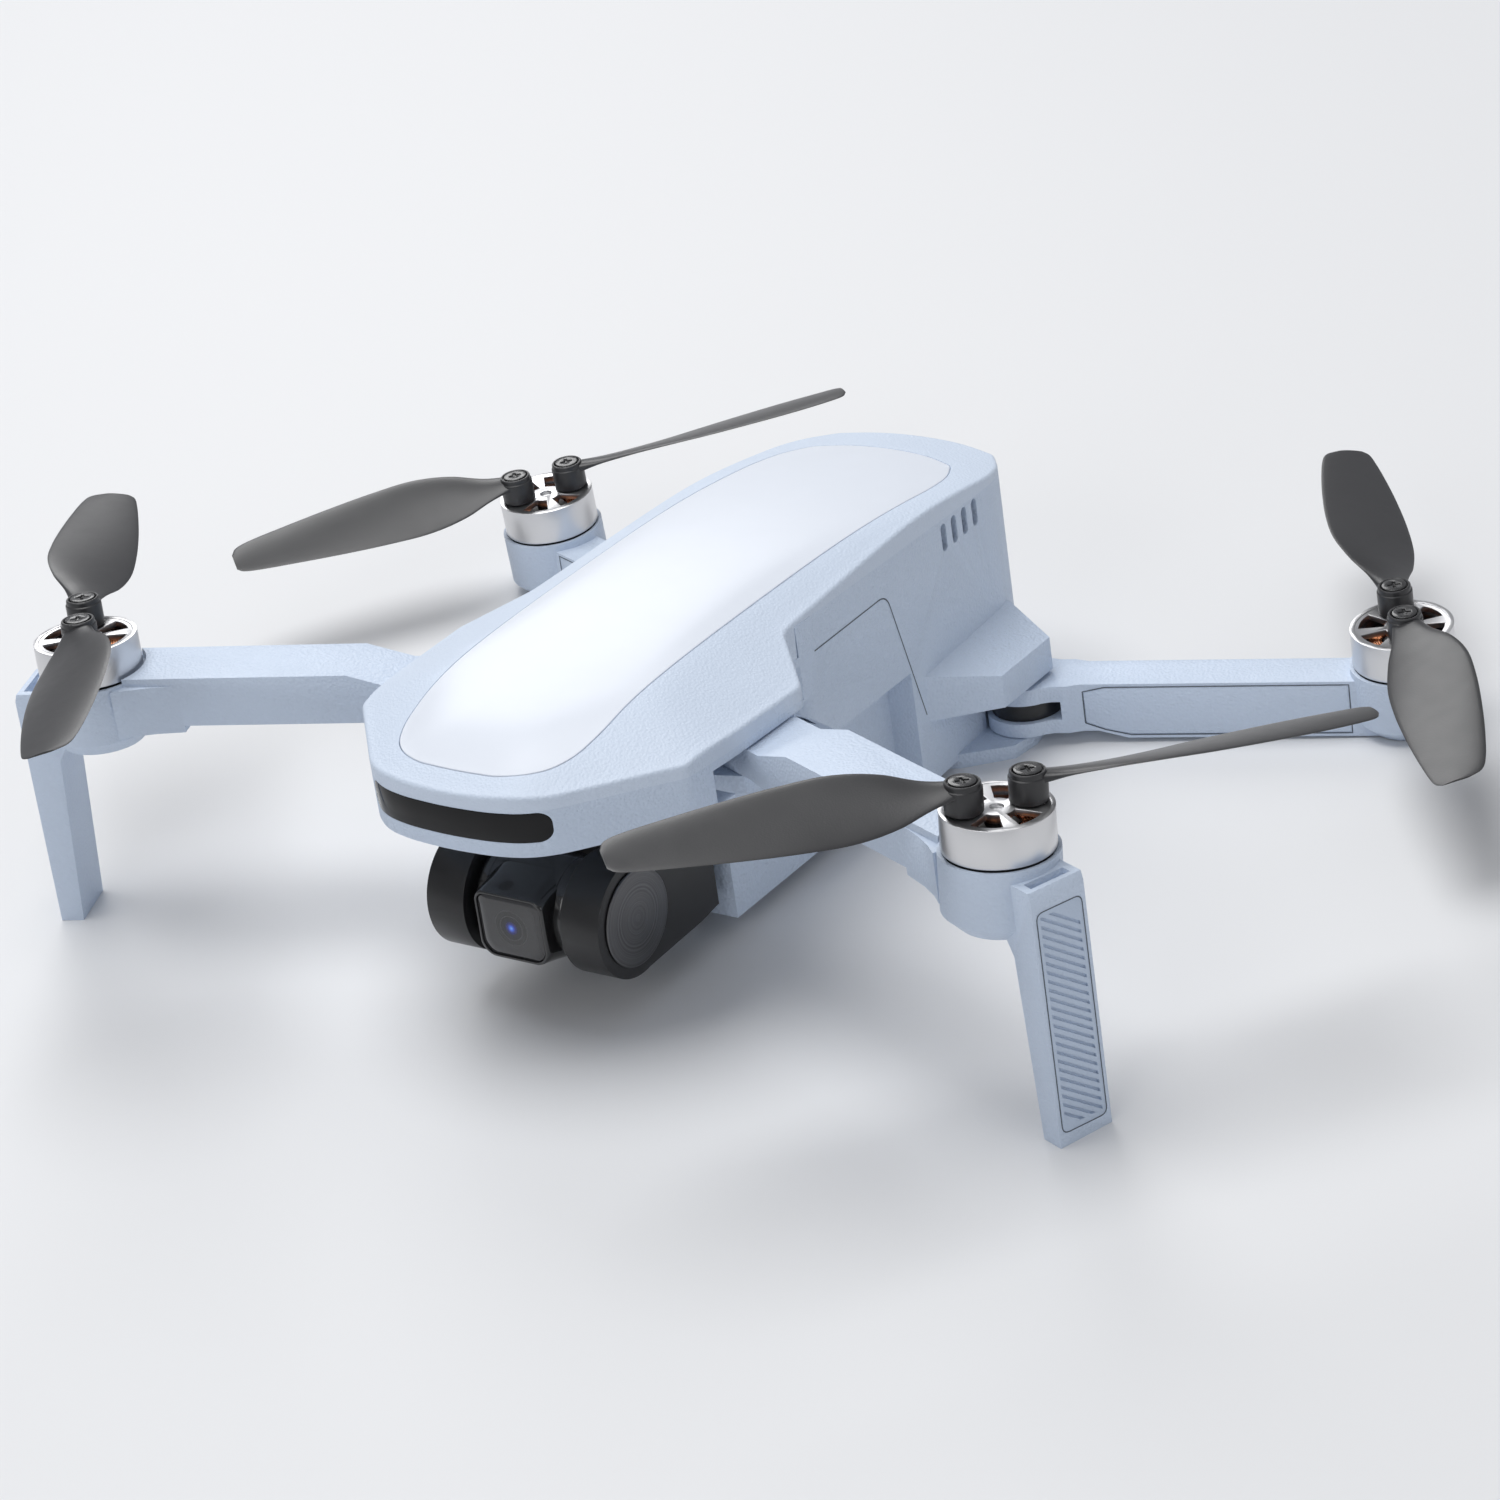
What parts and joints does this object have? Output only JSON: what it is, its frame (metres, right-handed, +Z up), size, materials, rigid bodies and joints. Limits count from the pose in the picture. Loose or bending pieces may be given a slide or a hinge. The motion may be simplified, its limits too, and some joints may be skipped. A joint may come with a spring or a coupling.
{
  "type": "quadcopter drone",
  "caption": "Small folding camera quadcopter: faceted body on hinged arms with brushless motors, hinged propeller blades, a tilting camera and a slide-in battery.",
  "frame": {"origin": "on the ground, under the middle of the box round the open aircraft", "axes": "+X the aircraft's left, -Y the way the camera looks, +Z up"},
  "size_m": [0.2595, 0.2214, 0.0606],
  "materials": {
    "shell": "fine leather grain",
    "inlay": "smooth satin",
    "arm_shell": "fine leather grain",
    "ribbed_cover": "satin, ribbed",
    "window": "dark, polished",
    "black_plastic": "satin",
    "camera_black": "polished",
    "camera_glass": "polished",
    "lens": "polished",
    "spun_metal": "spun, dark anodised",
    "motor_metal": "turned",
    "magnet": "nickel plated",
    "core": "coated laminations",
    "copper": "enamelled wire",
    "screw": "black oxide",
    "pin_steel": "ground",
    "washer": "satin",
    "damper": "matt",
    "blade": "satin",
    "board": "solder mask",
    "antenna": "ceramic",
    "battery_shell": "fine grain",
    "cell": "wrapped foil pouch",
    "light": "clear diffuser",
    "button": "satin",
    "socket_steel": "plated"
  },
  "bodies": {
    "airframe": {"upper_shell": "shell", "top_inlay": "inlay", "lower_shell": "shell", "nose_window": "window", "hinge_pins": "pin_steel", "rear_hinge_washers": "washer", "gimbal_bracket": "black_plastic", "gimbal_caps": "spun_metal", "gimbal_dampers": "damper", "main_board": "board", "gps_antenna": "antenna", "belly_sensors": "window", "usb_port": "socket_steel", "shell_screws": "screw"},
    "camera": {"camera_body": "camera_black", "camera_glass": "camera_glass", "camera_lens": "lens"},
    "battery": {"battery_case": "battery_shell", "battery_cells": "cell", "battery_lights": "light"},
    "power_button": {"power_button": "button"},
    "battery_latch": {"battery_latch": "button"},
    "front_left_arm": {"front_left_arm": "arm_shell", "front_left_leg_panel": "ribbed_cover", "front_left_stator": "core", "front_left_windings": "copper"},
    "front_left_rotor": {"front_left_bell": "motor_metal", "front_left_magnets": "magnet", "front_left_hub_screws": "screw"},
    "front_left_blade_a": {"front_left_blade_a": "blade"},
    "front_left_blade_b": {"front_left_blade_b": "blade"},
    "rear_left_arm": {"rear_left_arm": "arm_shell", "rear_left_arm_panel": "ribbed_cover", "rear_left_stator": "core", "rear_left_windings": "copper"},
    "rear_left_rotor": {"rear_left_bell": "motor_metal", "rear_left_magnets": "magnet", "rear_left_hub_screws": "screw"},
    "rear_left_blade_a": {"rear_left_blade_a": "blade"},
    "rear_left_blade_b": {"rear_left_blade_b": "blade"},
    "front_right_arm": {"front_right_arm": "arm_shell", "front_right_leg_panel": "ribbed_cover", "front_right_stator": "core", "front_right_windings": "copper"},
    "front_right_rotor": {"front_right_bell": "motor_metal", "front_right_magnets": "magnet", "front_right_hub_screws": "screw"},
    "front_right_blade_a": {"front_right_blade_a": "blade"},
    "front_right_blade_b": {"front_right_blade_b": "blade"},
    "rear_right_arm": {"rear_right_arm": "arm_shell", "rear_right_arm_panel": "ribbed_cover", "rear_right_stator": "core", "rear_right_windings": "copper"},
    "rear_right_rotor": {"rear_right_bell": "motor_metal", "rear_right_magnets": "magnet", "rear_right_hub_screws": "screw"},
    "rear_right_blade_a": {"rear_right_blade_a": "blade"},
    "rear_right_blade_b": {"rear_right_blade_b": "blade"}
  },
  "joints": [
    {"name": "camera_tilt", "type": "hinge", "parent": "airframe", "child": "camera", "pos_m": [0, -0.06143, 0.01744], "axis": [1, 0, 0], "range_deg": [-20, 90]},
    {"name": "battery_slide", "type": "slide", "parent": "airframe", "child": "battery", "axis": [0, 0.9993, -0.0366], "range_m": [0, 0.075]},
    {"name": "power_button_press", "type": "slide", "parent": "battery", "child": "power_button", "axis": [0, -0.9993, 0.0366], "range_m": [0, 0.0008], "stiffness_N_per_m": 1200},
    {"name": "battery_latch_press", "type": "slide", "parent": "battery", "child": "battery_latch", "axis": [0, -0.0366, -0.9993], "range_m": [0, 0.0012], "stiffness_N_per_m": 1200},
    {"name": "front_left_arm_fold", "type": "hinge", "parent": "airframe", "child": "front_left_arm", "pos_m": [0.027, -0.03814, 0.0388], "axis": [0, 0.0366, 0.9993], "range_deg": [0, 88]},
    {"name": "front_left_rotor_spin", "type": "hinge", "parent": "front_left_arm", "child": "front_left_rotor", "pos_m": [0.08925, -0.06161, 0.05097], "axis": [0.0331, 0.0883, 0.9955], "continuous": true},
    {"name": "front_left_blade_a_swing", "type": "hinge", "parent": "front_left_rotor", "child": "front_left_blade_a", "pos_m": [0.08609, -0.06504, 0.05499], "axis": [-0.0331, -0.0883, -0.9955], "range_deg": [-75, 75]},
    {"name": "front_left_blade_b_swing", "type": "hinge", "parent": "front_left_rotor", "child": "front_left_blade_b", "pos_m": [0.09264, -0.05754, 0.05411], "axis": [0.0331, 0.0883, 0.9955], "range_deg": [-75, 75]},
    {"name": "rear_left_arm_fold", "type": "hinge", "parent": "airframe", "child": "rear_left_arm", "pos_m": [0.028, 0.03815, 0.00698], "axis": [0, -0.0366, -0.9993], "range_deg": [0, 107.35]},
    {"name": "rear_left_rotor_spin", "type": "hinge", "parent": "rear_left_arm", "child": "rear_left_rotor", "pos_m": [0.08925, 0.06109, 0.01855], "axis": [0.0139, -0.014, 0.9998], "continuous": true},
    {"name": "rear_left_blade_a_swing", "type": "hinge", "parent": "rear_left_rotor", "child": "rear_left_blade_a", "pos_m": [0.09231, 0.05704, 0.02205], "axis": [0.0139, -0.014, 0.9998], "range_deg": [0, 75.6]},
    {"name": "rear_left_blade_b_swing", "type": "hinge", "parent": "rear_left_rotor", "child": "rear_left_blade_b", "pos_m": [0.08629, 0.06503, 0.02225], "axis": [0.0139, -0.014, 0.9998], "range_deg": [-75, 75]},
    {"name": "front_right_arm_fold", "type": "hinge", "parent": "airframe", "child": "front_right_arm", "pos_m": [-0.027, -0.03814, 0.0388], "axis": [0, -0.0366, -0.9993], "range_deg": [0, 88]},
    {"name": "front_right_rotor_spin", "type": "hinge", "parent": "front_right_arm", "child": "front_right_rotor", "pos_m": [-0.08925, -0.06161, 0.05097], "axis": [-0.0331, 0.0883, 0.9955], "continuous": true},
    {"name": "front_right_blade_a_swing", "type": "hinge", "parent": "front_right_rotor", "child": "front_right_blade_a", "pos_m": [-0.08636, -0.06526, 0.055], "axis": [-0.0331, 0.0883, 0.9955], "range_deg": [-75, 75]},
    {"name": "front_right_blade_b_swing", "type": "hinge", "parent": "front_right_rotor", "child": "front_right_blade_b", "pos_m": [-0.09237, -0.05732, 0.0541], "axis": [0.0331, -0.0883, -0.9955], "range_deg": [-75, 75]},
    {"name": "rear_right_arm_fold", "type": "hinge", "parent": "airframe", "child": "rear_right_arm", "pos_m": [-0.028, 0.03815, 0.00698], "axis": [0, 0.0366, 0.9993], "range_deg": [0, 107.35]},
    {"name": "rear_right_rotor_spin", "type": "hinge", "parent": "rear_right_arm", "child": "rear_right_rotor", "pos_m": [-0.08925, 0.06109, 0.01855], "axis": [-0.0139, -0.014, 0.9998], "continuous": true},
    {"name": "rear_right_blade_a_swing", "type": "hinge", "parent": "rear_right_rotor", "child": "rear_right_blade_a", "pos_m": [-0.09258, 0.05727, 0.02205], "axis": [0.0139, 0.014, -0.9998], "range_deg": [0, 67.5]},
    {"name": "rear_right_blade_b_swing", "type": "hinge", "parent": "rear_right_rotor", "child": "rear_right_blade_b", "pos_m": [-0.08602, 0.06481, 0.02225], "axis": [0.0139, 0.014, -0.9998], "range_deg": [-75, 75]}
  ],
  "couplings": [
    {"joint": "rear_left_blade_a_swing", "follows": "rear_left_arm_fold", "ratio": 0.7},
    {"joint": "rear_right_blade_a_swing", "follows": "rear_right_arm_fold", "ratio": 0.624}
  ]
}
